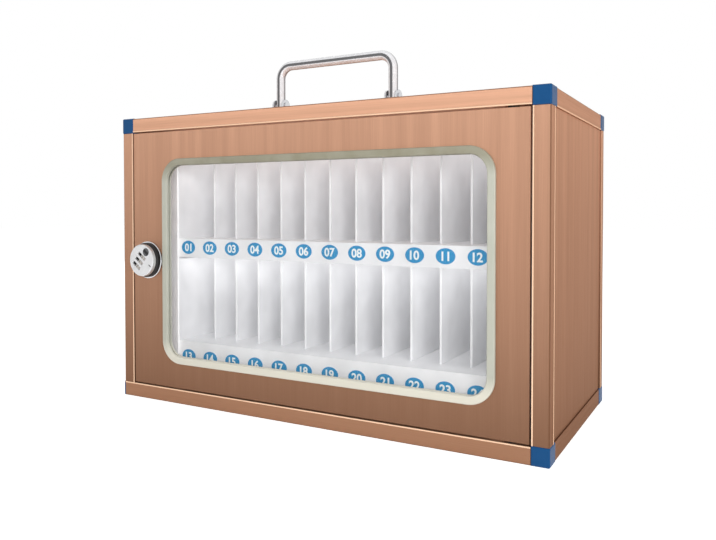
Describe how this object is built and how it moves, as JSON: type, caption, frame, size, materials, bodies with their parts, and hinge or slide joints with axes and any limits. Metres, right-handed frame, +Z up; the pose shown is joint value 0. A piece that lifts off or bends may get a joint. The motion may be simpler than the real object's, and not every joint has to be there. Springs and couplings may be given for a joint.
{
  "type": "cell phone locker box",
  "caption": "Aluminium-framed carry box with a windowed, dial-locked door over rows of numbered upright phone slots, and a folding handle on top.",
  "frame": {"origin": "middle of the case's footprint, on the underside of the bottom panel", "axes": "+X to the right seen from the front, the door faces -Y, +Z up"},
  "size_m": [0.45, 0.2248, 0.344],
  "materials": {
    "copper_aluminium": "vertically brushed and anodised rose copper",
    "corner_blue": "moulded blue plastic, slight sheen",
    "white_plastic": "white moulded plastic, satin",
    "label_blue": "glossy blue number plate",
    "gasket_rubber": "pale grey-green rubber, satin",
    "pane_acrylic": "clear acrylic sheet",
    "chrome": "bright chrome plate",
    "satin_chrome": "satin chrome plate",
    "knob_black": "black moulded grip",
    "dial_white": "pale moulded number wheel",
    "steel": "plain zinc-plated steel",
    "mill_aluminium": "plain mill-finish aluminium",
    "nylon": "natural nylon"
  },
  "bodies": {
    "case": {"front_top_rail": "copper_aluminium", "front_bottom_rail": "copper_aluminium", "rear_top_rail": "copper_aluminium", "rear_bottom_rail": "copper_aluminium", "left_top_rail": "copper_aluminium", "left_bottom_rail": "copper_aluminium", "right_top_rail": "copper_aluminium", "right_bottom_rail": "copper_aluminium", "front_left_post": "copper_aluminium", "front_right_post": "copper_aluminium", "rear_left_post": "copper_aluminium", "rear_right_post": "copper_aluminium", "top_panel": "copper_aluminium", "bottom_panel": "copper_aluminium", "left_panel": "copper_aluminium", "right_panel": "copper_aluminium", "back_panel": "copper_aluminium", "corner_front_left_top": "corner_blue", "corner_front_left_bottom": "corner_blue", "corner_front_right_top": "corner_blue", "corner_front_right_bottom": "corner_blue", "corner_rear_left_top": "corner_blue", "corner_rear_left_bottom": "corner_blue", "corner_rear_right_top": "corner_blue", "corner_rear_right_bottom": "corner_blue", "base_screws": "steel", "cheek_screws": "steel", "left_cheek": "white_plastic", "right_cheek": "white_plastic", "lower_tray": "white_plastic", "upper_shelf": "white_plastic", "lower_dividers": "white_plastic", "upper_dividers": "white_plastic", "rear_liners": "white_plastic", "shelf_angles": "white_plastic", "upper_number_labels": "label_blue", "lower_number_labels": "label_blue", "hinge_bushes": "nylon", "door_stop_angle": "mill_aluminium", "handle_brackets": "chrome", "handle_pivot_pins": "chrome", "handle_rivets": "satin_chrome"},
    "door": {"door_panel": "copper_aluminium", "window_gasket": "gasket_rubber", "window_pane": "pane_acrylic", "door_hinge_stile": "mill_aluminium", "hinge_pins": "steel", "lock_body": "chrome", "lock_nut": "steel"},
    "lock_knob": {"knob_body": "knob_black", "knob_face_plate": "satin_chrome", "dial_axle": "steel", "lock_cam": "steel", "cam_screw": "steel"},
    "dial_1": {"dial_wheel_1": "dial_white"},
    "dial_2": {"dial_wheel_2": "dial_white"},
    "dial_3": {"dial_wheel_3": "dial_white"},
    "key_plug": {"key_plug": "satin_chrome"},
    "handle": {"handle_bail": "chrome"}
  },
  "joints": [
    {"name": "door_swing", "type": "hinge", "parent": "case", "child": "door", "pos_m": [0.194, -0.1001, 0.016], "axis": [0, 0, 1], "range_deg": [0, 115]},
    {"name": "lock_turn", "type": "hinge", "parent": "door", "child": "lock_knob", "pos_m": [-0.1878, -0.1061, 0.144], "axis": [0, 1, 0], "range_deg": [0, 90]},
    {"name": "key_turn", "type": "hinge", "parent": "lock_knob", "child": "key_plug", "pos_m": [-0.18115, -0.1176, 0.15251], "axis": [0, 1, 0], "range_deg": [0, 90]},
    {"name": "dial_1_turn", "type": "hinge", "parent": "lock_knob", "child": "dial_1", "pos_m": [-0.18556, -0.1139, 0.1472], "axis": [0.6157, 0, 0.788], "continuous": true},
    {"name": "dial_2_turn", "type": "hinge", "parent": "lock_knob", "child": "dial_2", "pos_m": [-0.18925, -0.1139, 0.14247], "axis": [0.6157, 0, 0.788], "continuous": true},
    {"name": "dial_3_turn", "type": "hinge", "parent": "lock_knob", "child": "dial_3", "pos_m": [-0.19294, -0.1139, 0.13774], "axis": [0.6157, 0, 0.788], "continuous": true},
    {"name": "handle_fold", "type": "hinge", "parent": "case", "child": "handle", "pos_m": [0, -0.0485, 0.3], "axis": [-1, 0, 0], "range_deg": [-90, 90]}
  ]
}
